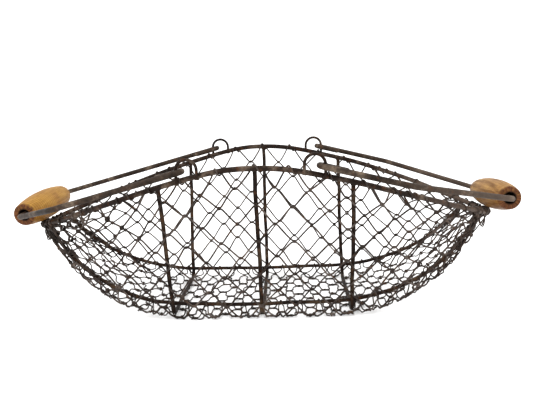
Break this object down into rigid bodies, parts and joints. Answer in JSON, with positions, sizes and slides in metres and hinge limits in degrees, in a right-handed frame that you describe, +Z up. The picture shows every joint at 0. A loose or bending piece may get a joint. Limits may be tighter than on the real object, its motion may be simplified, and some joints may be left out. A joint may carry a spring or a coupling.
{
  "type": "fruit picker basket",
  "caption": "Boat-shaped wire harvest basket of hexagonal netting on a bent wire frame, with two swinging wire bails that carry turned wooden grips.",
  "frame": {"origin": "middle of the flat underside of the netting floor", "axes": "+X along the basket's length, +Y to the back, +Z up"},
  "size_m": [0.4794, 0.2111, 0.1585],
  "materials": {
    "frame_wire": "weathered steel wire with a dark brown-grey patina",
    "bail_wire": "weathered steel wire, rubbed a little lighter",
    "netting_wire": "thin weathered steel wire with a dark patina",
    "grip_wood": "turned softwood, waxed, with scorched ends"
  },
  "bodies": {
    "basket": {"rim_hoop": "frame_wire", "chine_front": "frame_wire", "chine_back": "frame_wire", "rib_left": "frame_wire", "rib_middle": "frame_wire", "rib_right": "frame_wire", "eye_front_left": "frame_wire", "eye_front_right": "frame_wire", "eye_back_left": "frame_wire", "eye_back_right": "frame_wire", "netting_front": "netting_wire", "netting_back": "netting_wire", "netting_floor": "netting_wire", "tip_binding_left": "netting_wire", "tip_binding_right": "netting_wire"},
    "bail_left": {"bail_left": "bail_wire"},
    "bail_right": {"bail_right": "bail_wire"},
    "grip_left": {"grip_left": "grip_wood"},
    "grip_right": {"grip_right": "grip_wood"}
  },
  "joints": [
    {"name": "bail_left_swing", "type": "hinge", "parent": "basket", "child": "bail_left", "pos_m": [-0.0535, 0, 0.147], "axis": [0.0332, 0.9995, 0], "range_deg": [0, 116]},
    {"name": "bail_right_swing", "type": "hinge", "parent": "basket", "child": "bail_right", "pos_m": [0.054, 0, 0.147], "axis": [-0.0314, -0.9994, 0.014], "range_deg": [0, 116]},
    {"name": "grip_left_spin", "type": "hinge", "parent": "bail_left", "child": "grip_left", "pos_m": [-0.22356, 0.00214, 0.10353], "axis": [0.0245, 0.9991, 0.0338], "continuous": true},
    {"name": "grip_right_spin", "type": "hinge", "parent": "bail_right", "child": "grip_right", "pos_m": [0.22722, -0.00956, 0.10278], "axis": [0.014, 0.9966, -0.0815], "continuous": true}
  ]
}
